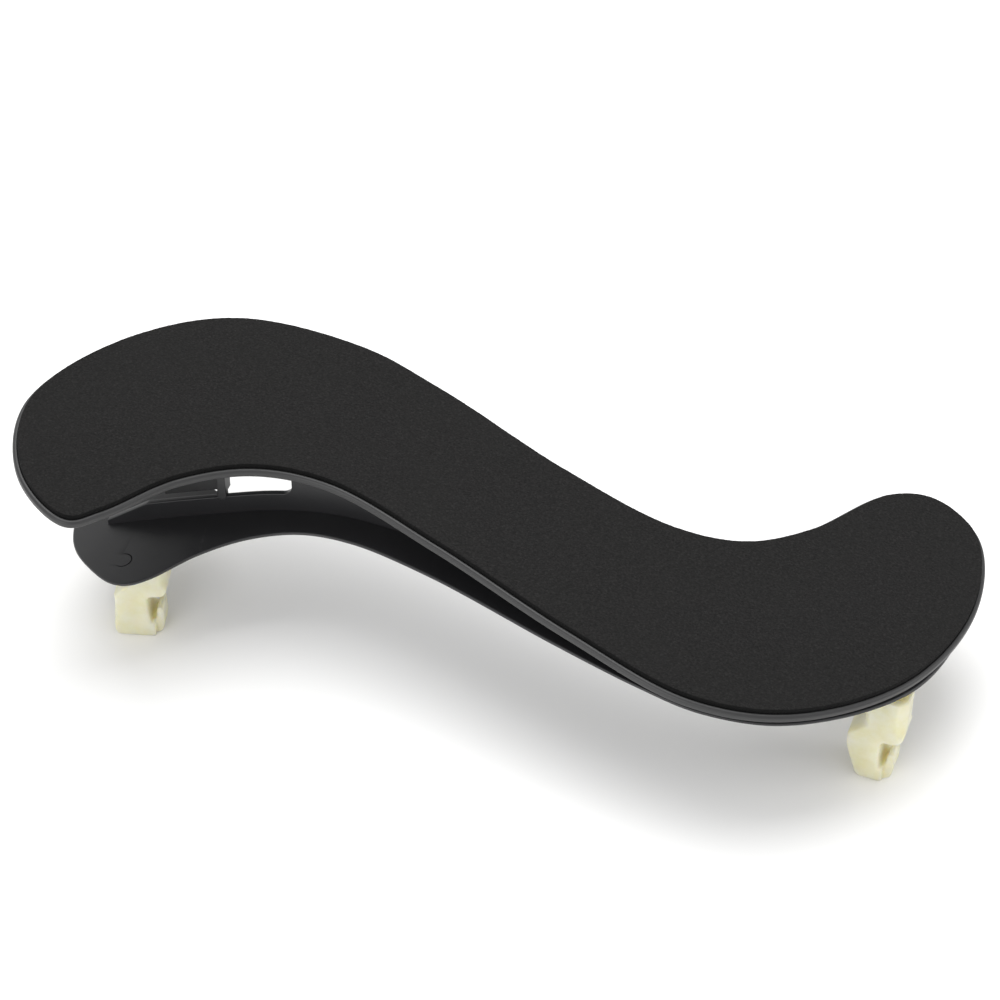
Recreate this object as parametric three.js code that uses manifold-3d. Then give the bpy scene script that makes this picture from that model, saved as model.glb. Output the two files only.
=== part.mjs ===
// Violin shoulder rest: an S-shaped padded plate on an arched base with four swivelling claws.
// Millimetres, +Z up, +X along the rest.  The claws stand on z = 0.
import * as THREE from 'three';
import { mergeVertices } from 'three/addons/utils/BufferGeometryUtils.js';
import Module from 'manifold-3d';

const wasm = await Module();
wasm.setup();

// ---------------------------------------------------------------- driving dimensions
const GAP = 0.3;                      // clearance kept between neighbouring pieces
const CENTRE_SHIFT_X = 0.78;          // brings the middle of the whole rest over the origin
const CENTRE_SHIFT_Y = -0.39;
const TALL = 90;                      // cutting shapes reach above the whole rest
const WIDE = 70;                      // and beyond both its long sides
const OVERCUT = 1;                    // cutting shapes pass this far beyond the face they open
const BLEND = 0.2;                    // overlap inside a piece that is joined from several shapes
const ROUND_SIDES = 28;               // facets of a small round
const FINE_SIDES = 40;                // facets of a wider or more visible round
const DEG = Math.PI / 180;

// S-shaped plan of the pad, in the plane of the pad plate, anticlockwise from the left end.
const PAD_OUTLINE = [
  [-123.5, -15.5], [-115, -38.5], [-99, -48], [-92, -42], [-79, -24.5], [-62.5, -13],
  [-43, -10], [-11, -18.5], [28, -32], [62, -40.5], [86.5, -35], [111, -13.5],
  [121.5, 16.5], [117, 40.5], [104, 48.5], [92.5, 45], [76.5, 25], [62, 14],
  [43.5, 11], [11.5, 18.5], [-27.5, 32.5], [-52.5, 38.5], [-86, 34.5], [-111, 13.5],
];
const PAD_STEPS = 150;                // straight steps along the pad's outline

// pad plate, film and foam, measured square to the plate
const PAD_TILT = 6.84 * DEG;          // the pad side falls from the left end to the right end
const PAD_BOTTOM_Z = 48.6;            // underside of the pad plate above the middle of the rest
const PLATE_RIM_HEIGHT = 2.45;
const PLATE_FLOOR = 1.7;              // thickness under the foam
const RIM_OVERHANG = 1.1;             // rim outside the foam's outline
const RIM_ROUND = 0.9;
const FILM_LIFT = 0.05;               // film over the plate's floor
const FILM_THICKNESS = 0.15;
const FILM_INSET = 1;
const FOAM_BOTTOM = 1.95;
const FOAM_TOP = 3.9;
const FOAM_INSET = 0.15;

// base plate: a thin sheet bent along one circular arch
const ARCH_APEX_X = 22;
const ARCH_APEX_Z = 41.1;             // top face at the apex
const ARCH_RADIUS = 590;
const BASE_THICKNESS = 2.5;
const EDGE_THICKNESS = 0.8;           // the sheet thins to this along its border
const EDGE_WIDTH = 1.6;               // width of the thin border
const BASE_REACH = 122;               // the bent sheet before it is cut to its plan
const ARCH_STEPS = 50;                // straight steps along the arch
const BASE_STEPS = 120;               // and along the plan's outline
const BASE_OUTLINE = [
  [-112.3, -19.7], [-108.5, -26.7], [-101.5, -32.9], [-94.5, -36.9], [-89.5, -37.3],
  [-84.2, -34.3], [-74.5, -23.8], [-63.5, -15.9], [-51, -11.7], [-36.9, -12], [-14.5, -17.9],
  [23.3, -31.1], [48.7, -38.1], [64.5, -40.4], [83, -37.1], [102.7, -24], [114.6, -8.3],
  [119.8, 16.6], [115, 39], [104, 46.5], [94.5, 43], [78, 23.5], [63, 12.5], [45, 8], [22, -1],
  [0, -4], [-25, 0], [-45, 0.5], [-60, -1], [-72, -1.5], [-80, 0.5], [-88, 7], [-95, 14.5],
  [-102, 19], [-109, 16], [-113.4, 5], [-114.6, -6],
];

// upright rib along the base, and the guide rib hanging from the pad plate
const RIB_PATH = [
  [-104, -15.4], [-77, -7.8], [-60, -3.4], [-45, -2], [-30, -3.4], [-13, -7.2], [5, -14],
  [25, -22.4], [46, -29.4],
];
const RIB_NEAR = -1.2;                // faces of the rib beside its path
const RIB_FAR = 0.3;
const RIB_HEIGHT = 6;                 // free height over the base
const RIB_STEP = 6;                   // length of a straight step along the rib's side view
const RIB_PATH_STEPS = 48;
const RIB_ROOT = 1;                   // depth that the rib is sunk into the base
const RIB_END_HEIGHT = 1.5;
const RIB_LEFT = -103.5;
const RIB_FULL_LEFT = -93;            // the rib reaches its free height here
const RIB_RISE_X = -55.6;             // right of this the rib fills up to the pad plate
const RIB_RISE_ROUND = 3;
const RIB_RIGHT = 46;
const GUIDE_LEFT = -88;
const GUIDE_RIGHT = -71.8;
const GUIDE_GAP = 2.9;                // air between the guide rib and the base rib
const GUIDE_TOP_GAP = 0.1;            // parting line under the pad plate
const LEG_LEFT = -74;
const LEG_CLEARANCE = 6.6;            // leg tip above the base
const LEG_THICKNESS = 1.6;

// small ring moulded into the base's top face
const RING_CENTRE = [-93.8, -28.9];
const RING_RADIUS = 2.5;
const RING_WIDTH = 0.35;
const RING_DEPTH = 0.3;
const RING_TALL = 3;                  // the ring's cutter reaches out of the arched face

// screws that join pad plate and base, placed in the plane of the pad plate
const SCREWS = [[72, -26], [87, 3], [109, 9]];
const SCREW_RADIUS = 1.5;
const SCREW_HEAD_RADIUS = 2.7;
const SCREW_HEAD_HEIGHT = 1.2;
const SCREW_HEAD_SINK = 0.1;          // head top below the plate's floor
const SCREW_LENGTH = 6.3;
const SCREW_TIP_LENGTH = 0.6;
const SCREW_TIP_RADIUS = 0.9;
const SLOT_LENGTH = 3;                // each arm of the cross slot in the head
const SLOT_WIDTH = 0.6;
const SLOT_DEPTH = 0.7;
const SCREW_BOSS_RADIUS = 3.6;
const SCREW_BOSS_DEPTH = 6.6;         // boss face below the pad plate's underside
const SCREW_BOSS_ROOT = 1.6;          // the boss ends inside the base sheet

// claws: stud position, height of the seat that the claw turns under, heading of its mouth,
// and how far the foot reaches back from the stud; the raised end has the broader feet
const CLAWS = [
  { name: 'near_left', x: -90.1, y: -23, seat: 26.2, heading: 13, heel: 9.8 },
  { name: 'far_left', x: -103.5, y: 12, seat: 24, heading: 0, heel: 9.8 },
  { name: 'near_right', x: 106.6, y: -11.4, seat: 32.2, heading: -4, heel: 5.9 },
  { name: 'far_right', x: 91.5, y: 25.5, seat: 33.8, heading: 180, heel: 5.9 },
];
const BOSS_RADIUS = 3.6;
const BOSS_ROOT = 1;                  // depth that a boss is sunk into the base
const STUD_RADIUS = 1.5;
const STUD_UP = 2.3;                  // stud length above the seat
const STUD_DOWN = 4.6;                // stud length below the seat
const HUB_RADIUS = 3.2;
const HUB_LENGTH = 5.8;
const HUB_LOWEST = 17.8;              // the hub stays above the mouth
const FLANGE_RADIUS = 4.3;
const FLANGE_HEIGHT = 0.6;
const CORE_WIDTH = 4.4;
const BOOT_WIDTH = 9.6;
const BOOT_ROUND = 0.5;
const LIP_WIDTH = 6.4;                // the hook's lip is narrower than the boot
const LIP_ROOT = 1.4;
const MOUTH_MIDDLE = 12.5;
const NECK_RADIUS = 6;
const BACK_REACH = 8.8;               // back of the boot above its foot
const SHOULDER_LOW = 14.5;            // the boot narrows to its round neck between these heights
const SHOULDER_HIGH = 20;
const SHOULDER_RADIUS = 10.4;

// ---------------------------------------------------------------- materials
function finish(color, roughness, metalness = 0) {
  return new THREE.MeshStandardMaterial({ color, roughness, metalness });
}
const blackPlastic = () => finish(0x1b1b1d, 0.5);
const blackFoam = () => finish(0x242424, 0.95);
const clearFilm = () => finish(0xb9b9b0, 0.4);
const steel = () => finish(0xa9abad, 0.3, 1);
const yellowNylon = () => finish(0xd8cf92, 0.45);
const paleRubber = () => finish(0xe9e4c4, 0.5);

// ---------------------------------------------------------------- solids
function toSolid(geometry) {
  const bare = geometry.clone();
  bare.deleteAttribute('normal');
  bare.deleteAttribute('uv');
  const merged = mergeVertices(bare, 1e-4);
  return new wasm.Manifold(new wasm.Mesh({
    numProp: 3,
    vertProperties: new Float32Array(merged.attributes.position.array),
    triVerts: new Uint32Array(merged.index.array),
  }));
}

function toGeometry(solid) {
  const mesh = solid.getMesh();
  const geometry = new THREE.BufferGeometry();
  geometry.setAttribute('position', new THREE.BufferAttribute(mesh.vertProperties, 3));
  geometry.setIndex(new THREE.BufferAttribute(mesh.triVerts, 1));
  geometry.computeVertexNormals();
  return geometry;
}

const join = (first, ...rest) => rest.reduce((sum, solid) => sum.add(solid), first);
const cut = (first, ...rest) => rest.reduce((sum, solid) => sum.subtract(solid), first);

function part(name, solid, material) {
  const mesh = new THREE.Mesh(toGeometry(solid), material);
  mesh.name = name;
  return mesh;
}

// A plan shape raised from z0 to z1.
function prism(points, z0, z1) {
  const shape = new THREE.Shape(points);
  const geometry = new THREE.ExtrudeGeometry(shape, { depth: z1 - z0, bevelEnabled: false });
  return toSolid(geometry.translate(0, 0, z0));
}

// A side-view shape, drawn in x and z, reaching from -y to +y.
function slab(points, halfWidth, round = 0) {
  const geometry = new THREE.ExtrudeGeometry(new THREE.Shape(points), {
    depth: 2 * (halfWidth - round),
    bevelEnabled: round > 0,
    bevelThickness: round,
    bevelSize: round,
    bevelOffset: -round,
    bevelSegments: 2,
  });
  return toSolid(geometry.rotateX(Math.PI / 2).translate(0, halfWidth - round, 0));
}

function cylinder(x, y, z0, z1, radiusBottom, radiusTop = radiusBottom, sides = ROUND_SIDES) {
  const geometry = new THREE.CylinderGeometry(radiusTop, radiusBottom, z1 - z0, sides);
  return toSolid(geometry.rotateX(Math.PI / 2).translate(x, y, (z0 + z1) / 2));
}

function block(x0, x1, y0, y1, z0, z1) {
  const geometry = new THREE.BoxGeometry(x1 - x0, y1 - y0, z1 - z0);
  return toSolid(geometry.translate((x0 + x1) / 2, (y0 + y1) / 2, (z0 + z1) / 2));
}

// ---------------------------------------------------------------- curves
function spline(points, closed) {
  const vectors = points.map(([x, y]) => new THREE.Vector3(x, y, 0));
  return new THREE.CatmullRomCurve3(vectors, closed, 'centripetal');
}

// Points beside a curve; a positive shift is to the left of its direction of travel.
function besideCurve(curve, shift, steps, from = 0, to = 1) {
  const points = [];
  for (let i = 0; i <= steps; i += 1) {
    const u = from + (to - from) * i / steps;
    const centre = curve.getPointAt(u);
    const along = curve.getTangentAt(u);
    points.push(new THREE.Vector2(centre.x - along.y * shift, centre.y + along.x * shift));
  }
  return points;
}

function padOutline(inset) {
  return besideCurve(spline(PAD_OUTLINE, true), inset, PAD_STEPS).slice(0, -1);
}

function baseOutline(inset) {
  return besideCurve(spline(BASE_OUTLINE, true), inset, BASE_STEPS).slice(0, -1);
}

const archTop = (x) => ARCH_APEX_Z - (x - ARCH_APEX_X) ** 2 / (2 * ARCH_RADIUS);
const padUnderside = (x) => PAD_BOTTOM_Z - x * Math.tan(PAD_TILT);

// The side view between two curves z = low(x) and z = high(x).
function sideBand(low, high, x0, x1, steps) {
  const xs = Array.from({ length: steps + 1 }, (_, i) => x0 + (x1 - x0) * i / steps);
  const lower = xs.map((x) => new THREE.Vector2(x, low(x)));
  const upper = xs.map((x) => new THREE.Vector2(x, high(x)));
  return [...lower, ...upper.reverse()];
}

function arcPoints(x, z, radius, fromDegrees, toDegrees, steps = 4) {
  return Array.from({ length: steps + 1 }, (_, i) => {
    const turn = (fromDegrees + (toDegrees - fromDegrees) * i / steps) * DEG;
    return new THREE.Vector2(x + radius * Math.cos(turn), z + radius * Math.sin(turn));
  });
}

// An upright wall of constant thickness on the rib's path.
function wallOnPath(shiftNear, shiftFar) {
  const curve = spline(RIB_PATH, false);
  const near = besideCurve(curve, shiftNear, RIB_PATH_STEPS);
  const far = besideCurve(curve, shiftFar, RIB_PATH_STEPS);
  return prism([...near, ...far.reverse()], 0, TALL);
}

// ---------------------------------------------------------------- pad side
const PAD_FRAME = new THREE.Matrix4().makeRotationY(PAD_TILT).setPosition(0, 0, PAD_BOTTOM_Z);

// The same solid, carried from the plane of the pad plate to the rest's own frame.
const fromPadFrame = (solid) => solid.transform(PAD_FRAME.elements);

function padPlate() {
  const round = RIM_ROUND;
  const geometry = new THREE.ExtrudeGeometry(new THREE.Shape(padOutline(-RIM_OVERHANG)), {
    depth: PLATE_RIM_HEIGHT - 2 * round,
    bevelThickness: round,
    bevelSize: round,
    bevelOffset: -round,
    bevelSegments: 3,
  });
  const recess = prism(padOutline(0), PLATE_FLOOR, PLATE_RIM_HEIGHT + OVERCUT);
  const holes = SCREWS.map(([x, y]) => join(
    cylinder(x, y, -OVERCUT, PLATE_FLOOR + OVERCUT, SCREW_RADIUS + GAP),
    cylinder(x, y, PLATE_FLOOR - SCREW_HEAD_HEIGHT - GAP, PLATE_FLOOR + GAP,
      SCREW_RADIUS + GAP, SCREW_HEAD_RADIUS + 2 * GAP),
  ));
  const body = toSolid(geometry.translate(0, 0, round));
  return part('pad_plate', cut(body, recess, ...holes), blackPlastic());
}

function padFilm() {
  const bottom = PLATE_FLOOR + FILM_LIFT;
  return part('pad_film', prism(padOutline(FILM_INSET), bottom, bottom + FILM_THICKNESS), clearFilm());
}

function foamPad() {
  return part('foam_pad', prism(padOutline(FOAM_INSET), FOAM_BOTTOM, FOAM_TOP), blackFoam());
}

const SCREW_HEAD_TOP = PLATE_FLOOR - SCREW_HEAD_SINK;
const SCREW_TIP = SCREW_HEAD_TOP - SCREW_LENGTH;

function lapScrew(index, [x, y]) {
  const neck = SCREW_HEAD_TOP - SCREW_HEAD_HEIGHT;
  const taper = SCREW_TIP + SCREW_TIP_LENGTH;
  const body = join(
    cylinder(x, y, neck, SCREW_HEAD_TOP, SCREW_RADIUS, SCREW_HEAD_RADIUS),
    cylinder(x, y, taper, neck + BLEND, SCREW_RADIUS),
    cylinder(x, y, SCREW_TIP, taper + BLEND, SCREW_TIP_RADIUS, SCREW_RADIUS),
  );
  const long = SLOT_LENGTH / 2;
  const thin = SLOT_WIDTH / 2;
  const slotFloor = SCREW_HEAD_TOP - SLOT_DEPTH;
  const slot = join(
    block(x - long, x + long, y - thin, y + thin, slotFloor, SCREW_HEAD_TOP + OVERCUT),
    block(x - thin, x + thin, y - long, y + long, slotFloor, SCREW_HEAD_TOP + OVERCUT),
  );
  return part(`lap_screw_${index}`, cut(body, slot), steel());
}

// ---------------------------------------------------------------- base side
function archSheet(thickness, inset) {
  const band = sideBand((x) => archTop(x) - thickness, archTop, -BASE_REACH, BASE_REACH, ARCH_STEPS);
  return slab(band, WIDE).intersect(prism(baseOutline(inset), 0, TALL));
}

// Side view of the rib: a low left end, an even free height, then a rounded step up to the pad.
function ribSideView() {
  const points = [];
  for (let x = RIB_RIGHT; x > RIB_LEFT; x -= RIB_STEP) {
    points.push(new THREE.Vector2(x, archTop(x) - RIB_ROOT));
  }
  points.push(new THREE.Vector2(RIB_LEFT, archTop(RIB_LEFT) - RIB_ROOT));
  points.push(new THREE.Vector2(RIB_LEFT, archTop(RIB_LEFT) + RIB_END_HEIGHT));
  const cornerX = RIB_RISE_X - RIB_RISE_ROUND;
  const cornerZ = archTop(cornerX) + RIB_HEIGHT;
  for (let x = RIB_FULL_LEFT; x < cornerX; x += RIB_STEP) {
    points.push(new THREE.Vector2(x, archTop(x) + RIB_HEIGHT));
  }
  points.push(...arcPoints(cornerX, cornerZ + RIB_RISE_ROUND, RIB_RISE_ROUND, -90, 0));
  const topZ = padUnderside(cornerX) - GAP;
  points.push(...arcPoints(cornerX, topZ - RIB_RISE_ROUND, RIB_RISE_ROUND, 0, 90));
  points.push(new THREE.Vector2(RIB_RIGHT, padUnderside(RIB_RIGHT) - GAP));
  return points;
}

function baseRib() {
  return slab(ribSideView(), WIDE).intersect(wallOnPath(RIB_NEAR, RIB_FAR));
}

function mouldedRing() {
  const [x, y] = RING_CENTRE;
  const floor = archTop(x) - RING_DEPTH;
  const top = floor + RING_TALL;
  const inner = RING_RADIUS - RING_WIDTH;
  return cut(
    cylinder(x, y, floor, top, RING_RADIUS, RING_RADIUS, FINE_SIDES),
    cylinder(x, y, floor - OVERCUT, top + OVERCUT, inner, inner, FINE_SIDES),
  );
}

function basePlate() {
  const clawBosses = CLAWS.map(({ x, y, seat }) => (
    cylinder(x, y, seat, archTop(x) - BOSS_ROOT, BOSS_RADIUS)
  ));
  const studHoles = CLAWS.map(({ x, y, seat }) => (
    cylinder(x, y, seat - OVERCUT, seat + STUD_UP + GAP, STUD_RADIUS + GAP)
  ));
  const screwBosses = SCREWS.map(([x, y]) => (
    fromPadFrame(cylinder(x, y, -SCREW_BOSS_DEPTH, -SCREW_BOSS_ROOT, SCREW_BOSS_RADIUS))
  ));
  const screwHoles = SCREWS.map(([x, y]) => (
    fromPadFrame(cylinder(x, y, SCREW_TIP - GAP, OVERCUT, SCREW_RADIUS + GAP))
  ));
  const sheet = join(archSheet(EDGE_THICKNESS, 0), archSheet(BASE_THICKNESS, EDGE_WIDTH));
  const body = join(sheet, baseRib(), ...clawBosses, ...screwBosses);
  return part('base_plate', cut(body, ...studHoles, ...screwHoles, mouldedRing()), blackPlastic());
}

// The guide rib hangs in the rib's own plane, with a leg that reaches down in front of it.
function guideRib() {
  const low = (x) => archTop(x) + RIB_HEIGHT + GUIDE_GAP;
  const high = (x) => padUnderside(x) - GUIDE_TOP_GAP;
  const wallView = sideBand(low, high, GUIDE_LEFT, GUIDE_RIGHT, 3);
  const wall = slab(wallView, WIDE).intersect(wallOnPath(RIB_NEAR, RIB_FAR));
  const tipX = (LEG_LEFT + GUIDE_RIGHT) / 2;
  const tipRadius = (GUIDE_RIGHT - LEG_LEFT) / 2;
  const tipZ = archTop(tipX) + LEG_CLEARANCE + tipRadius;
  const legView = [
    new THREE.Vector2(GUIDE_RIGHT, high(GUIDE_RIGHT)),
    new THREE.Vector2(LEG_LEFT, high(LEG_LEFT)),
    ...arcPoints(tipX, tipZ, tipRadius, 180, 360, 6),
  ];
  const legFar = RIB_NEAR - GAP;
  const leg = slab(legView, WIDE).intersect(wallOnPath(legFar - LEG_THICKNESS, legFar));
  const bridge = slab(sideBand(low, high, LEG_LEFT, GUIDE_RIGHT, 2), WIDE)
    .intersect(wallOnPath(legFar - BLEND, RIB_NEAR + BLEND));
  return part('guide_rib', join(wall, leg, bridge), blackPlastic());
}

// ---------------------------------------------------------------- claws
// Side view of a claw, in u (towards the mouth) and z.  The hook curls up on the mouth side.
function bootSideView(top, heel) {
  const back = (heel + BACK_REACH) / 2;
  return [
    [-heel, 1.2], [1.1 - heel, 0], [1.9, 0], [3.2, 1], [3.8, 3.6], [3.8, 8.6], [3.3, 9.9],
    [2.4, 9.9], [1.9, 8.8], [1.8, 6.6], [1.5, 5.4], [0.9, 4.9], [0.4, 5.3], [0.16, 6.4],
    [0, 9.3], [0, 14.2], [0.8, 15.2], [3.4, 15.3], [4.6, 15.9], [5.6, 17.8], [5.6, top], [-4.8, top],
    [-4.9, 20.8], [-6.8, 18.5], [-BACK_REACH, 15.4], [-BACK_REACH, 11], [-back, 6],
  ].map(([u, z]) => new THREE.Vector2(u, z));
}

function coreSideView(top, grow) {
  return [
    [-6.1 - grow, 4.5 - grow], [-4.1 + grow, 4.5 - grow], [-4.1 + grow, 15.2], [-2.6, 17.2 - grow],
    [2.4 + grow, 17.8 - grow], [2.4 + grow, top], [-2.6 - grow, top], [-2.6 - grow, 19.6],
    [-6.7 - grow, 15.2 + grow], [-6.9 - grow, 11],
  ].map(([u, z]) => new THREE.Vector2(u, z));
}

const hubBottom = (seat) => Math.max(seat - GAP - HUB_LENGTH, HUB_LOWEST);

function clawCore(seat) {
  const top = seat - GAP;
  const under = top - FLANGE_HEIGHT + BLEND;
  const body = join(
    slab(coreSideView(under, 0), CORE_WIDTH / 2),
    cylinder(0, 0, hubBottom(seat), under, HUB_RADIUS),
    cylinder(0, 0, top - FLANGE_HEIGHT, top, FLANGE_RADIUS),
  );
  return cut(body, cylinder(0, 0, seat - STUD_DOWN - GAP, TALL, STUD_RADIUS + GAP));
}

function clawBoot(seat, heel) {
  const top = seat - GAP - FLANGE_HEIGHT - GAP;
  const envelope = join(
    cylinder(0, 0, -OVERCUT, SHOULDER_LOW, SHOULDER_RADIUS, SHOULDER_RADIUS, FINE_SIDES),
    cylinder(0, 0, SHOULDER_LOW, SHOULDER_HIGH, SHOULDER_RADIUS, NECK_RADIUS, FINE_SIDES),
    cylinder(0, 0, SHOULDER_HIGH, TALL, NECK_RADIUS, NECK_RADIUS, FINE_SIDES),
  );
  return cut(
    slab(bootSideView(top, heel), BOOT_WIDTH / 2, BOOT_ROUND).intersect(envelope),
    block(LIP_ROOT, TALL, LIP_WIDTH / 2, WIDE, -OVERCUT, MOUTH_MIDDLE),
    block(LIP_ROOT, TALL, -WIDE, -LIP_WIDTH / 2, -OVERCUT, MOUTH_MIDDLE),
    slab(coreSideView(TALL, GAP), CORE_WIDTH / 2 + GAP),
    cylinder(0, 0, hubBottom(seat) - GAP, TALL, HUB_RADIUS + GAP),
  );
}

function claw({ name, x, y, seat, heading, heel }) {
  const group = new THREE.Group();
  group.add(part(`claw_core_${name}`, clawCore(seat), yellowNylon()));
  group.add(part(`claw_boot_${name}`, clawBoot(seat, heel), paleRubber()));
  const stud = cylinder(0, 0, seat - STUD_DOWN, seat + STUD_UP, STUD_RADIUS);
  group.add(part(`claw_stud_${name}`, stud, steel()));
  group.position.set(x, y, 0);
  group.rotation.z = heading * DEG;
  return group;
}

// ---------------------------------------------------------------- assembly
const padSide = new THREE.Group();
padSide.add(padPlate(), padFilm(), foamPad(), ...SCREWS.map((place, i) => lapScrew(i + 1, place)));
padSide.position.set(0, 0, PAD_BOTTOM_Z);
padSide.rotation.y = PAD_TILT;

const shoulderRest = new THREE.Group();
shoulderRest.add(padSide, basePlate(), guideRib(), ...CLAWS.map(claw));
shoulderRest.position.set(CENTRE_SHIFT_X, CENTRE_SHIFT_Y, 0);

export default shoulderRest;
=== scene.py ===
import math

import bmesh
import bpy
import numpy as np
from mathutils import Matrix, Vector, noise


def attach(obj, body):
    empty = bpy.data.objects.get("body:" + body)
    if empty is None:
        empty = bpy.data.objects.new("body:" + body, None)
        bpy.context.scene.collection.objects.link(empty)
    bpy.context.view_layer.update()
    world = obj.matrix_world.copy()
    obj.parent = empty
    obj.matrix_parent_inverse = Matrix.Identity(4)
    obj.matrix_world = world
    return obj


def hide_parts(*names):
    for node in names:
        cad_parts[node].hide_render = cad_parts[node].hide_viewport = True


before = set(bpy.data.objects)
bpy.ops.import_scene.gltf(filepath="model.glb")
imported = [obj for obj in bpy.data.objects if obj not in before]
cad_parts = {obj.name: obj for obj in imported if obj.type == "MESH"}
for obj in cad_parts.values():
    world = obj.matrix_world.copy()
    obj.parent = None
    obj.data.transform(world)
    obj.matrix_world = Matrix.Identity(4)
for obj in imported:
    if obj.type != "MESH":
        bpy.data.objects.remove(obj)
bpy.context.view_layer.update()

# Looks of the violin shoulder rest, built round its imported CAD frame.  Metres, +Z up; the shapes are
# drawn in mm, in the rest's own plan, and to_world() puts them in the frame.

MM = 0.001
SHIFT = Vector((0.78, -0.39, 0)) * MM       # as in part.mjs: the rest's middle over the origin

# ---------------------------------------------------------------- dimensions, in mm, as in part.mjs
PAD_OUTLINE = [
    (-123.5, -15.5), (-115, -38.5), (-99, -48), (-92, -42), (-79, -24.5), (-62.5, -13),
    (-43, -10), (-11, -18.5), (28, -32), (62, -40.5), (86.5, -35), (111, -13.5),
    (121.5, 16.5), (117, 40.5), (104, 48.5), (92.5, 45), (76.5, 25), (62, 14),
    (43.5, 11), (11.5, 18.5), (-27.5, 32.5), (-52.5, 38.5), (-86, 34.5), (-111, 13.5),
]
BASE_OUTLINE = [
    (-112.3, -19.7), (-108.5, -26.7), (-101.5, -32.9), (-94.5, -36.9), (-89.5, -37.3),
    (-84.2, -34.3), (-74.5, -23.8), (-63.5, -15.9), (-51, -11.7), (-36.9, -12), (-14.5, -17.9),
    (23.3, -31.1), (48.7, -38.1), (64.5, -40.4), (83, -37.1), (102.7, -24), (114.6, -8.3),
    (119.8, 16.6), (115, 39), (104, 46.5), (94.5, 43), (78, 23.5), (63, 12.5), (45, 8), (22, -1),
    (0, -4), (-25, 0), (-45, 0.5), (-60, -1), (-72, -1.5), (-80, 0.5), (-88, 7), (-95, 14.5),
    (-102, 19), (-109, 16), (-113.4, 5), (-114.6, -6),
]
RIB_PATH = [
    (-104, -15.4), (-77, -7.8), (-60, -3.4), (-45, -2), (-30, -3.4), (-13, -7.2), (5, -14),
    (25, -22.4), (46, -29.4),
]
PAD_TILT = math.radians(6.84)
PAD_BOTTOM_Z = 48.6
ARCH_APEX_X, ARCH_APEX_Z, ARCH_RADIUS = 22, 41.1, 590
BASE_THICKNESS, EDGE_THICKNESS, EDGE_WIDTH = 2.5, 0.8, 1.6
PAD_HEIGHT, PAD_FLOOR, PAD_RIM = 2.45, 1.7, 1.1     # rim's top, tray's floor, rim outside the tray
RIB_NEAR, RIB_FAR, RIB_HEIGHT = -1.2, 0.3, 6
RIB_LEFT, RIB_FULL, RIB_RISE, RIB_RIGHT, RIB_TURN = -103.5, -93, -55.6, 46, 3
GAP = 0.3
SCREWS = [(72, -26), (87, 3), (109, 9)]
SCREW_HOLE, SCREW_SINK = 1.8, 3.05           # hole radius under the head and at the plate's floor
SCREW_BOSS, SCREW_BOSS_DEPTH, SCREW_DEPTH = 3.6, 6.6, 5.0
CLAWS = {                                     # stud place and seat height
    "near_left": (-90.1, -23, 26.2), "far_left": (-103.5, 12, 24),
    "near_right": (106.6, -11.4, 32.2), "far_right": (91.5, 25.5, 33.8),
}
CLAW_BOSS, STUD_HOLE, STUD_UP = 3.6, 1.8, 2.3
RING_CENTRE, RING_OUTER, RING_INNER, RING_DEPTH = (-93.8, -28.9), 2.5, 2.15, 0.2

# ---------------------------------------------------------------- mesh detail and softness, in mm
FOAM_POINTS, PLATE_POINTS, RIB_POINTS = 1200, 900, 300
FOAM_BOTTOM, FOAM_TOP, FOAM_INSET, FOAM_SOFT = 1.95, 3.9, -0.15, 0.28
RIM_ROUND, SHEET_ROUND, WALL_ROUND = 0.9, 0.5, 0.22
FOAM_CELL, PAD_CELL, SHEET_CELL, WALL_CELL, WALL_STEP = 2.2, 6.0, 2.5, 1.5, 0.6
BOOT_VOXEL, BOOT_PASSES, BOOT_WOBBLE = 0.22, 34, 0.10
CORE_VOXEL, GUIDE_VOXEL, CRISP_PASSES = 0.22, 0.16, 3
BOSS_FLARE, BOSS_CHAMFER = 1.0, 0.3
WELD, SLIVER = 0.02, 0.01


# ---------------------------------------------------------------- curves
def curve(points, closed, count):
    """Evenly spaced points on the centripetal Catmull-Rom curve through some points."""
    p = np.array(points, float)
    if closed:
        ext = np.vstack([p[-1:], p, p[:2]])
    else:
        ext = np.vstack([2 * p[:1] - p[1:2], p, 2 * p[-1:] - p[-2:-1]])
    s = np.linspace(0, 1, 60, endpoint=False)[:, None]
    runs = []
    for a, b, c, d in zip(ext, ext[1:], ext[2:], ext[3:]):
        d0, d1, d2 = (np.linalg.norm(v) ** 0.5 for v in (b - a, c - b, d - c))
        t1 = ((b - a) / d0 - (c - a) / (d0 + d1) + (c - b) / d1) * d1
        t2 = ((c - b) / d1 - (d - b) / (d1 + d2) + (d - c) / d2) * d1
        runs.append(b + t1 * s + (3 * (c - b) - 2 * t1 - t2) * s**2 + (2 * (b - c) + t1 + t2) * s**3)
    line = np.vstack(runs + [ext[1:2] if closed else ext[-2:-1]])
    length = np.concatenate([[0], np.cumsum(np.linalg.norm(np.diff(line, axis=0), axis=1))])
    at = np.linspace(0, length[-1], count + 1)[: count if closed else count + 1]
    return np.stack([np.interp(at, length, line[:, k]) for k in (0, 1)], axis=1)


def outward(loop):
    """Unit normals that point out of an anticlockwise loop."""
    along = np.roll(loop, -1, axis=0) - np.roll(loop, 1, axis=0)
    along /= np.linalg.norm(along, axis=1)[:, None]
    return np.stack([along[:, 1], -along[:, 0]], axis=1)


def arch_top(x):
    """Height of the base sheet's upper face."""
    return ARCH_APEX_Z - (x - ARCH_APEX_X) ** 2 / (2 * ARCH_RADIUS)


def pad_underside(x):
    """Height of the pad plate's underside."""
    return PAD_BOTTOM_Z - x * math.tan(PAD_TILT)


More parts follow.
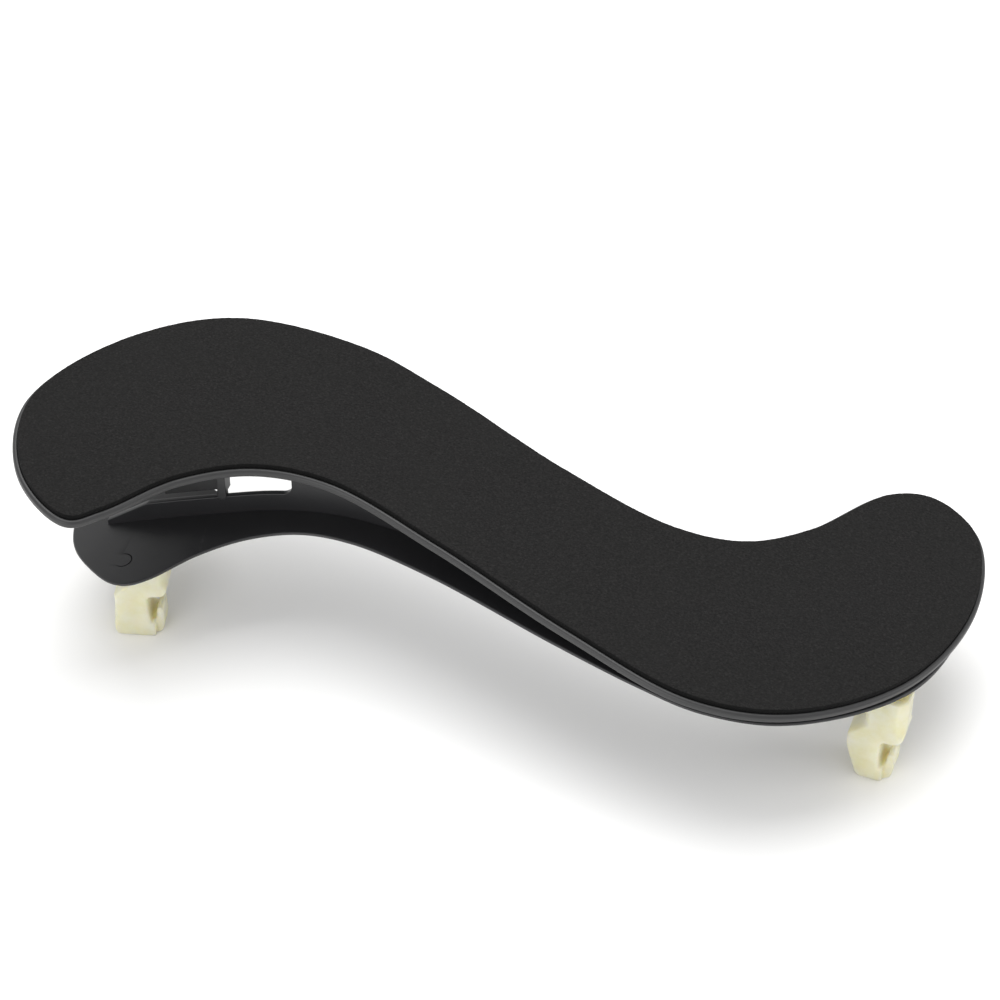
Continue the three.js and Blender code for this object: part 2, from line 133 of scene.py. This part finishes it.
def arc(x, z, radius, start, end, steps):
    """Points on an arc about (x, z), between two angles in degrees."""
    turns = np.radians(np.linspace(start, end, steps + 1))
    return [(x + radius * math.cos(t), z + radius * math.sin(t)) for t in turns]


# ---------------------------------------------------------------- mesh code
def to_world(bm, place=lambda co: co):
    """Moves a bmesh drawn in mm in the rest's own plan to its place in the row frame."""
    for v in bm.verts:
        v.co = place(v.co.copy()) * MM + SHIFT


PAD_FRAME = Matrix.Translation((0, 0, PAD_BOTTOM_Z)) @ Matrix.Rotation(PAD_TILT, 4, "Y")


def on_pad(co):
    return PAD_FRAME @ co


def on_arch(co):
    return Vector((co.x, co.y, co.z + arch_top(co.x)))


def ring(bm, points, z):
    """Vertices on a level loop."""
    return [bm.verts.new((x, y, z)) for x, y in points]


def band(bm, low, high):
    """Faces between two loops with the same number of vertices."""
    n = len(low)
    for i in range(n):
        bm.faces.new((low[i], low[(i + 1) % n], high[(i + 1) % n], high[i]))


def loop_edges(bm, verts):
    pairs = zip(verts, verts[1:] + verts[:1])
    return [bm.edges.get(p) or bm.edges.new(p) for p in pairs]


def circle(x, y, radius, sides=48):
    turns = [2 * math.pi * i / sides for i in range(sides)]
    return [(x + radius * math.cos(t), y + radius * math.sin(t)) for t in turns]


def plate(outline, section, cell, holes=(), grid_y=False):
    """A closed plate: a rounded edge section swept round an outline, and two caps with holes.

    The section runs from the lower cap to the upper one as (distance outward, height).
    Each hole is a list of (x, y, radius, height) rings, from the lower cap to the upper one.
    """
    bm = bmesh.new()
    normals = outward(outline)
    rings = [ring(bm, outline + out * normals, z) for out, z in section]
    for low, high in zip(rings, rings[1:]):
        band(bm, low, high)
    lower, upper = loop_edges(bm, rings[0]), loop_edges(bm, rings[-1])
    for hole in holes:
        loops = [ring(bm, circle(x, y, radius), z) for x, y, radius, z in hole]
        for low, high in zip(loops, loops[1:]):
            band(bm, low, high)
        lower += loop_edges(bm, loops[0])
        upper += loop_edges(bm, loops[-1])
    for edges in (lower, upper):
        bmesh.ops.triangle_fill(bm, use_beauty=True, edges=edges)
    low, high = outline.min(axis=0), outline.max(axis=0)
    for axis in (0, 1) if grid_y else (0,):
        for at in np.arange(low[axis] + cell, high[axis], cell):
            where, along = [0, 0, 0], [0, 0, 0]
            where[axis], along[axis] = at, 1
            everything = bm.verts[:] + bm.edges[:] + bm.faces[:]
            bmesh.ops.bisect_plane(bm, geom=everything, plane_co=where, plane_no=along, dist=1e-4)
    bmesh.ops.recalc_face_normals(bm, faces=bm.faces[:])
    return bm


def lathe(x, y, profile):
    """A closed round solid about a vertical line, from (radius, height) pairs, lowest first."""
    bm = bmesh.new()
    loops = [ring(bm, circle(x, y, radius), z) for radius, z in profile]
    for low, high in zip(loops, loops[1:]):
        band(bm, low, high)
    bm.faces.new(loops[0][::-1])
    bm.faces.new(loops[-1])
    return bm


def resampled(view, step):
    """Evenly spaced points on a closed polygon, so that its edge can be rounded."""
    loop = np.vstack([view, view[:1]])
    length = np.concatenate([[0], np.cumsum(np.linalg.norm(np.diff(loop, axis=0), axis=1))])
    at = np.linspace(0, length[-1], int(length[-1] / step) + 1)[:-1]
    return np.stack([np.interp(at, length, loop[:, k]) for k in (0, 1)], axis=1)


def upright(view, path, near, far):
    """A wall with rounded edges that follows a path, from its side view in (x, z)."""
    edge = WALL_ROUND
    inner, flat = -0.9, -edge - 0.08
    section = [(inner, near), (flat, near)]
    section += [(x - edge, t) for x, t in arc(0, near + edge, edge, -90, 0, 3)]
    section += [(x - edge, t) for x, t in arc(0, far - edge, edge, 0, 90, 3)]
    section += [(flat, far), (inner, far)]
    bm = plate(resampled(np.array(view), WALL_STEP), section, WALL_CELL)
    along = np.gradient(path, axis=0)
    stretch = np.sqrt(1 + (along[:, 1] / along[:, 0]) ** 2)
    for v in bm.verts:
        x, z, t = v.co
        y = np.interp(x, path[:, 0], path[:, 1])
        v.co = (x, y + t * np.interp(x, path[:, 0], stretch), z)
    bmesh.ops.recalc_face_normals(bm, faces=bm.faces[:])
    return bm


def as_object(bm, name):
    mesh = bpy.data.meshes.new(name)
    bm.to_mesh(mesh)
    bm.free()
    obj = bpy.data.objects.new(name, mesh)
    bpy.context.scene.collection.objects.link(obj)
    return obj


def baked(obj):
    """Applies an object's modifiers."""
    bpy.context.view_layer.update()
    graph = bpy.context.evaluated_depsgraph_get()
    mesh = bpy.data.meshes.new_from_object(obj.evaluated_get(graph))
    obj.modifiers.clear()
    old, obj.data = obj.data, mesh
    bpy.data.meshes.remove(old)
    mesh.name = obj.name
    return obj


def combined(obj, others, operation):
    """Joins other solids to one, or cuts them out of it, and deletes them."""
    for other in others:
        mod = obj.modifiers.new("cut", "BOOLEAN")
        mod.operation = operation
        mod.object = other
        mod.solver = "MANIFOLD"
    baked(obj)
    for other in others:
        bpy.data.objects.remove(other)
    return obj


def shaded(obj, angle=32):
    """Clears slivers and shades smooth, with sharp edges where faces meet at more than the angle."""
    bm = bmesh.new()
    bm.from_mesh(obj.data)
    bmesh.ops.remove_doubles(bm, verts=bm.verts[:], dist=WELD * MM)
    bmesh.ops.dissolve_degenerate(bm, dist=SLIVER * MM, edges=bm.edges[:])
    bm.to_mesh(obj.data)
    bm.free()
    obj.data.shade_smooth()
    obj.data.set_sharp_from_angle(angle=math.radians(angle))
    return obj


def softened(node, name, voxel, passes, wobble=0.0):
    """A copy of a CAD node with rounded edges and, for rubber, a slightly uneven skin."""
    bm = bmesh.new()
    bm.from_mesh(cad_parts[node].data)
    bmesh.ops.remove_doubles(bm, verts=bm.verts[:], dist=1e-6)
    obj = as_object(bm, name)
    remesh = obj.modifiers.new("remesh", "REMESH")
    remesh.mode = "VOXEL"
    remesh.voxel_size = voxel * MM
    smooth = obj.modifiers.new("smooth", "SMOOTH")
    smooth.factor = 0.5
    smooth.iterations = passes
    baked(obj)
    count = len(obj.data.vertices)
    place, normal = np.zeros(3 * count, np.float32), np.zeros(3 * count, np.float32)
    obj.data.vertices.foreach_get("co", place)
    obj.data.vertices.foreach_get("normal", normal)
    place, normal = place.reshape(-1, 3), normal.reshape(-1, 3)
    swell = np.array([noise.noise(Vector(co) * 320) for co in place.tolist()]) * wobble * MM
    moved = place + normal * swell[:, None]
    obj.data.vertices.foreach_set("co", moved.astype(np.float32).ravel())
    obj.data.update()
    obj.data.shade_smooth()
    return obj


def finish_piece(obj, body, slot, material, *stands_for):
    """Gives a piece its material and body, and hides the CAD nodes that it stands for."""
    obj.data.materials.clear()
    obj.data.materials.append(material)
    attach(obj, body)
    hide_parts(*stands_for)
    return obj


# ---------------------------------------------------------------- materials
class Look:
    """A procedural material under construction, in row-frame coordinates."""

    def __init__(self, name, **constants):
        self.material = bpy.data.materials.new(name)
        self.material.use_nodes = True
        self.nodes = self.material.node_tree.nodes
        self.links = self.material.node_tree.links
        self.shader = self.nodes["Principled BSDF"]
        source = self.nodes.new("ShaderNodeTexCoord").outputs
        self.place, self.facing = source["Object"], source["Normal"]
        for key, value in constants.items():
            self.shader.inputs[key.replace("_", " ")].default_value = value

    def add(self, kind, inputs=(), **settings):
        node = self.nodes.new("ShaderNode" + kind)
        for key, value in settings.items():
            setattr(node, key, value)
        for key, value in dict(inputs).items():
            if isinstance(value, bpy.types.NodeSocket):
                self.links.new(value, node.inputs[key])
            else:
                node.inputs[key].default_value = value
        return node

    def stretched(self, scale):
        return self.add("Mapping", {"Vector": self.place, "Scale": scale}).outputs["Vector"]

    def noise(self, scale, detail=3.0, roughness=0.55, vector=None):
        inputs = {"Vector": vector or self.place, "Scale": scale}
        inputs |= {"Detail": detail, "Roughness": roughness}
        return self.add("TexNoise", inputs).outputs["Fac"]

    def cells(self, scale):
        inputs = {"Vector": self.place, "Scale": scale}
        return self.add("TexVoronoi", inputs, feature="F1").outputs["Distance"]

    def ramp(self, factor, *stops):
        node = self.add("ValToRGB", {"Fac": factor})
        elements = node.color_ramp.elements
        while len(elements) < len(stops):
            elements.new(0.5)
        for element, (at, value) in zip(elements, stops):
            element.position = at
            element.color = (*value, 1) if isinstance(value, tuple) else (value, value, value, 1)
        return node.outputs["Color"]

    def blend(self, factor, a, b):
        node = self.add("Mix", data_type="RGBA")
        for key, value in (("Factor_Float", factor), ("A_Color", a), ("B_Color", b)):
            socket = next(s for s in node.inputs if s.identifier == key)
            if isinstance(value, bpy.types.NodeSocket):
                self.links.new(value, socket)
            else:
                socket.default_value = value
        return next(s for s in node.outputs if s.identifier == "Result_Color")

    def math(self, operation, a, b):
        return self.add("Math", {0: a, 1: b}, operation=operation).outputs["Value"]

    def bump(self, height, strength, distance, under=None):
        inputs = {"Height": height, "Strength": strength, "Distance": distance}
        if under is not None:
            inputs["Normal"] = under
        return self.add("Bump", inputs).outputs["Normal"]

    def wire(self, **sockets):
        for key, value in sockets.items():
            self.links.new(value, self.shader.inputs[key.replace("_", " ")])
        return self.material


def foam_look():
    look = Look("foam", Sheen_Weight=0.03, Sheen_Roughness=0.6, Specular_IOR_Level=0.12)
    look.shader.inputs["Sheen Tint"].default_value = (0.9, 0.9, 0.9, 1)
    grain = look.noise(1500, 4.0, 0.7)
    pores = look.cells(1900)
    patches = look.noise(38, 2.0)
    fleck = look.ramp(look.noise(1700, 2.0), (0.52, 0.0), (0.72, 1.0))
    base = look.ramp(grain, (0.30, (0.0030, 0.0029, 0.0029)), (0.72, (0.0150, 0.0146, 0.0143)))
    base = look.blend(look.ramp(patches, (0.3, 0.0), (0.7, 0.25)), base, (0.0115, 0.0112, 0.0110, 1))
    base = look.blend(fleck, base, (0.0170, 0.0164, 0.0161, 1))
    # Painted shade: faces that turn away from up, the foam's cut side, are darkened towards near black
    # (0.0016) to stand for the shade that falls on them.
    up = look.add("SeparateXYZ", {"Vector": look.facing}).outputs["Z"]
    side = look.ramp(up, (0.35, 0.0), (0.93, 1.0))
    base = look.blend(side, (0.0016, 0.0016, 0.0016, 1), base)
    rough = look.ramp(grain, (0.3, 0.88), (0.7, 1.0))
    relief = look.bump(pores, 0.55, 0.00022)
    relief = look.bump(grain, 0.5, 0.00018, relief)
    return look.wire(Base_Color=base, Roughness=rough, Normal=relief)


def plastic_look(name, dark, light, rough_low, rough_high, flow):
    look = Look(name, IOR=1.5)
    cloud = look.noise(70, 4.0)
    streaks = look.noise(1.0, 3.0, 0.5, look.stretched(flow))
    texture = look.noise(5200, 3.0, 0.6)
    wear = look.ramp(look.add("NewGeometry").outputs["Pointiness"], (0.53, 0.0), (0.60, 1.0))
    scratches = look.ramp(look.noise(420, 5.0, 0.7), (0.45, 0.0), (0.7, 0.5))
    scuffs = look.math("MULTIPLY", wear, scratches)
    base = look.blend(cloud, (*dark, 1), (*light, 1))
    base = look.blend(scuffs, base, (0.075, 0.075, 0.078, 1))
    rough = look.blend(streaks, (rough_low,) * 3 + (1,), (rough_high,) * 3 + (1,))
    rough = look.blend(scuffs, rough, (0.62, 0.62, 0.62, 1))
    relief = look.bump(texture, 0.25, 0.00003)
    relief = look.bump(cloud, 0.15, 0.0003, relief)
    return look.wire(Base_Color=base, Roughness=rough, Normal=relief)


def rubber_look():
    look = Look("claw_rubber", Subsurface_Weight=0.8, Subsurface_Scale=0.006, IOR=1.42,
                Transmission_Weight=0.35)
    look.shader.inputs["Subsurface Radius"].default_value = (1.0, 0.85, 0.45)
    cloud = look.noise(190, 3.0)
    fine = look.noise(900, 4.0, 0.6)
    base = look.ramp(cloud, (0.32, (0.85, 0.79, 0.50)), (0.68, (0.92, 0.88, 0.68)))
    base = look.blend(look.ramp(fine, (0.4, 0.0), (0.75, 0.3)), base, (0.94, 0.91, 0.77, 1))
    rough = look.ramp(fine, (0.3, 0.34), (0.7, 0.5))
    relief = look.bump(fine, 0.3, 0.00008)
    return look.wire(Base_Color=base, Roughness=rough, Normal=relief)


def nylon_look():
    look = Look("claw_core", Subsurface_Weight=0.5, Subsurface_Scale=0.002, IOR=1.5,
                Transmission_Weight=0.2)
    look.shader.inputs["Subsurface Radius"].default_value = (1.0, 0.75, 0.25)
    cloud = look.noise(240, 3.0)
    base = look.ramp(cloud, (0.3, (0.66, 0.53, 0.16)), (0.7, (0.78, 0.68, 0.30)))
    rough = look.ramp(look.noise(1200, 3.0), (0.3, 0.25), (0.7, 0.42))
    relief = look.bump(cloud, 0.2, 0.0001)
    return look.wire(Base_Color=base, Roughness=rough, Normal=relief)


def film_look():
    look = Look("film", IOR=1.48)
    cloud = look.noise(120, 4.0)
    base = look.ramp(cloud, (0.3, (0.62, 0.58, 0.46)), (0.7, (0.74, 0.70, 0.58)))
    rough = look.ramp(look.noise(700, 3.0), (0.3, 0.35), (0.7, 0.6))
    relief = look.bump(look.noise(400, 3.0), 0.3, 0.00005)
    return look.wire(Base_Color=base, Roughness=rough, Normal=relief)


def steel_look():
    look = Look("steel", Metallic=1.0, IOR=2.5)
    turned = look.noise(1.0, 4.0, 0.6, look.stretched((500, 500, 9000)))
    base = look.ramp(turned, (0.3, (0.50, 0.50, 0.51)), (0.7, (0.68, 0.68, 0.69)))
    rough = look.ramp(turned, (0.3, 0.22), (0.7, 0.42))
    relief = look.bump(turned, 0.3, 0.00003)
    return look.wire(Base_Color=base, Roughness=rough, Normal=relief)


def floor_look():
    look = Look("floor", Roughness=0.9, Specular_IOR_Level=0.1)
    base = look.ramp(look.noise(3.0, 2.0), (0.3, (0.885, 0.885, 0.880)), (0.7, (0.90, 0.90, 0.895)))
    return look.wire(Base_Color=base)


# ---------------------------------------------------------------- camera, lights, floor
def stage():
    data = bpy.data.cameras.new("camera")
    data.lens = 110.45
    data.sensor_width = 36
    camera = bpy.data.objects.new("camera", data)
    camera.location = Vector((168.4, -516.1, 615.4)) * MM
    aim = Vector((-3.31, 12.42, 39.89)) * MM
    camera.rotation_mode = "QUATERNION"
    camera.rotation_quaternion = (aim - camera.location).to_track_quat("-Z", "Y")
    bpy.context.scene.collection.objects.link(camera)
    bpy.context.scene.camera = camera

    bm = bmesh.new()
    bmesh.ops.create_grid(bm, x_segments=8, y_segments=8, size=4)
    floor = as_object(bm, "floor")
    floor.data.materials.append(floor_look())

    for name, place, size, power in (
        ("key", (-0.25, 0.45, 1.7), 1.4, 26),
        ("side", (1.5, 0.2, 0.7), 0.9, 5),
        ("front", (-0.5, -1.6, 0.55), 1.2, 9),
    ):
        lamp = bpy.data.lights.new(name, "AREA")
        lamp.shape = "SQUARE"
        lamp.size = size
        lamp.energy = power
        holder = bpy.data.objects.new(name, lamp)
        holder.location = place
        holder.rotation_mode = "QUATERNION"
        holder.rotation_quaternion = (-Vector(place)).to_track_quat("-Z", "Y")
        bpy.context.scene.collection.objects.link(holder)

    world = bpy.data.worlds.new("studio")
    world.use_nodes = True
    world.node_tree.nodes["Background"].inputs["Color"].default_value = (1, 1, 1, 1)
    world.node_tree.nodes["Background"].inputs["Strength"].default_value = 0.85
    bpy.context.scene.world = world
    bpy.context.scene.view_settings.view_transform = "Standard"


# ---------------------------------------------------------------- pieces
def foam_piece():
    """The foam, with a ragged cut side and a top that isn't quite level."""
    outline = curve(PAD_OUTLINE, True, FOAM_POINTS)
    inset, bottom, top, soft = FOAM_INSET, FOAM_BOTTOM, FOAM_TOP, FOAM_SOFT
    section = [(inset - 1.2, bottom), (inset - 0.12, bottom), (inset, bottom + 0.1)]
    section += [(inset - 0.03, 2.5), (inset - 0.05, 3.0)]
    section += [(x + inset - soft, z) for x, z in arc(0, top - soft, soft, 0, 90, 6)]
    section += [(inset - 0.7, top), (inset - 1.4, top)]
    bm = plate(outline, section, FOAM_CELL, grid_y=True)
    for v in bm.verts:
        co = v.co
        level = (co.z - bottom) / (top - bottom)
        if level > 0.02:
            ragged = noise.noise_vector(co * 1.9) * 0.07 + noise.noise_vector(co * 0.6) * 0.05
            co.x += ragged.x
            co.y += ragged.y
        if level > 0.9:
            co.z += (noise.noise(co * 0.11) * 0.05 + noise.noise(co * 0.45) * 0.03) * level
    to_world(bm, on_pad)
    foam = shaded(as_object(bm, "foam"), 60)
    finish_piece(foam, "root", "foam", foam_look(), "foam_pad")


def upper_plate(material):
    """The pad plate: a rounded rim round a tray, with countersunk screw holes."""
    outline = curve(PAD_OUTLINE, True, PLATE_POINTS)
    over, height, floor, rounding = PAD_RIM, PAD_HEIGHT, PAD_FLOOR, RIM_ROUND
    section = [(over - 2.4, 0), (over - rounding - 0.4, 0)]
    section += [(x + over - rounding, z) for x, z in arc(0, rounding, rounding, -90, 0, 8)]
    section += [(x + over - rounding, z) for x, z in arc(0, height - rounding, rounding, 0, 90, 8)]
    section += [(0.08, height), (0.02, height - 0.03), (0, height - 0.1), (0, floor + 0.12)]
    section += [(-0.03, floor + 0.03), (-0.12, floor), (-1.2, floor)]
    holes = [[(x, y, SCREW_HOLE, 0), (x, y, SCREW_HOLE, 0.2), (x, y, SCREW_SINK, floor)]
             for x, y in SCREWS]
    bm = plate(outline, section, PAD_CELL, holes)
    to_world(bm, on_pad)
    piece = shaded(as_object(bm, "upper_plate"))
    finish_piece(piece, "root", "upper_plastic", material, "pad_plate")


def rib_view():
    """Side view of the base rib: low left end, even free height, rounded step up to the pad."""
    left, right, turn, height = RIB_LEFT, RIB_RIGHT, RIB_TURN, RIB_HEIGHT
    corner = RIB_RISE - turn
    root = [(x, arch_top(x) - 1) for x in np.linspace(right, left, 60)]
    run = [(x, arch_top(x) + height) for x in np.linspace(RIB_FULL, corner, 18)][:-1]
    low = arc(corner, arch_top(corner) + height + turn, turn, -90, 0, 10)
    top = pad_underside(corner) - GAP
    high = arc(corner, top - turn, turn, 0, 90, 10)
    end = (right, pad_underside(right) - GAP)
    loop = root + [(left, arch_top(left) + 1.5)] + run + low + high + [end]
    return loop[::-1]


def boss(x, y, seat, top):
    """A claw boss that widens where it meets the underside of the sheet."""
    chamfer = min(BOSS_CHAMFER, (top - seat) / 3)
    flare = min(BOSS_FLARE, (top - seat) / 3)
    steps = [(CLAW_BOSS + flare * (1 - math.cos(t)), top - flare + flare * math.sin(t))
             for t in np.radians(np.linspace(0, 80, 6))]
    foot = [(CLAW_BOSS - chamfer, seat), (CLAW_BOSS, seat + chamfer)]
    return lathe(x, y, foot + steps + [(steps[-1][0], top + 1.2)])


def base_sheet():
    """The arched sheet, with an edge that is thinner than the rest of it."""
    full, thin, wide, edge = BASE_THICKNESS, EDGE_THICKNESS, EDGE_WIDTH, SHEET_ROUND
    section = [(-2.8, -full), (-wide - 0.5, -full)]
    section += [(-wide - 0.1, 0.1 - full), (-wide, 0.4 - full)]
    section += [(-wide, -thin - 0.3), (0.3 - wide, -thin)]
    section += [(-0.25, -thin), (-0.05, 0.08 - thin), (0, 0.2 - thin)]
    section += [(x - edge, z) for x, z in arc(0, -edge, edge, 0, 90, 6)]
    section += [(-edge - 0.4, 0), (-2, 0)]
    return plate(curve(BASE_OUTLINE, True, PLATE_POINTS), section, SHEET_CELL)


def ring_groove():
    """The solid that cuts the shallow ring into the sheet's left end."""
    x, y = RING_CENTRE
    low = arch_top(x) - RING_DEPTH
    high = low + 3
    groove = bmesh.new()
    corners = [(RING_INNER, low), (RING_OUTER, low), (RING_OUTER, high), (RING_INNER, high)]
    loops = [ring(groove, circle(x, y, radius, 72), z) for radius, z in corners]
    for a, b in zip(loops, loops[1:] + loops[:1]):
        band(groove, a, b)
    bmesh.ops.recalc_face_normals(groove, faces=groove.faces[:])
    return groove


def placed(bm, name, place=lambda co: co):
    to_world(bm, place)
    return as_object(bm, name)


def lower_plate(material):
    """The base plate: arched sheet, rib, claw bosses, screw bosses, their bores and the ring."""
    body = placed(base_sheet(), "lower_plate", on_arch)
    rib = upright(rib_view(), curve(RIB_PATH, False, RIB_POINTS), RIB_NEAR, RIB_FAR)
    added, cuts = [placed(rib, "rib")], []
    for name, (x, y, seat) in CLAWS.items():
        foot = boss(x, y, seat, arch_top(x) - BASE_THICKNESS)
        added.append(placed(foot, "boss_" + name))
        bore = lathe(x, y, [(STUD_HOLE, seat - 1), (STUD_HOLE, seat + STUD_UP + GAP)])
        cuts.append(placed(bore, "bore_" + name))
    low = -SCREW_BOSS_DEPTH
    for i, (x, y) in enumerate(SCREWS):
        profile = [(SCREW_BOSS - 0.3, low), (SCREW_BOSS, low + 0.3), (SCREW_BOSS, -1.6)]
        added.append(placed(lathe(x, y, profile), f"screw_boss_{i}", on_pad))
        bore = lathe(x, y, [(SCREW_HOLE, -SCREW_DEPTH), (SCREW_HOLE, 1)])
        cuts.append(placed(bore, f"screw_bore_{i}", on_pad))
    cuts.append(placed(ring_groove(), "ring_groove"))
    combined(body, added, "UNION")
    combined(body, cuts, "DIFFERENCE")
    shaded(body)
    finish_piece(body, "root", "lower_plastic", material, "base_plate")


stage()
upper = plastic_look("upper_plastic", (0.014, 0.014, 0.0145), (0.020, 0.020, 0.0205), 0.36, 0.48,
                     (60, 60, 400))
lower = plastic_look("lower_plastic", (0.012, 0.012, 0.0132), (0.018, 0.018, 0.0195), 0.34, 0.46,
                     (25, 120, 120))
rubber, nylon, film, steel = rubber_look(), nylon_look(), film_look(), steel_look()
foam_piece()
upper_plate(upper)
lower_plate(lower)
guide = softened("guide_rib", "guide", GUIDE_VOXEL, CRISP_PASSES)
finish_piece(guide, "root", "upper_plastic", upper, "guide_rib")
for claw in CLAWS:
    boot, core = "claw_boot_" + claw, "claw_core_" + claw
    soft = softened(boot, "boot_" + claw, BOOT_VOXEL, BOOT_PASSES, BOOT_WOBBLE)
    finish_piece(soft, "claw_" + claw, "claw_rubber", rubber, boot)
    crisp = softened(core, "core_" + claw, CORE_VOXEL, CRISP_PASSES)
    finish_piece(crisp, "claw_" + claw, "claw_core", nylon, core)
for name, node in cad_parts.items():
    if node.hide_render:
        continue
    node.data.materials.clear()
    node.data.materials.append(film if name == "pad_film" else steel)
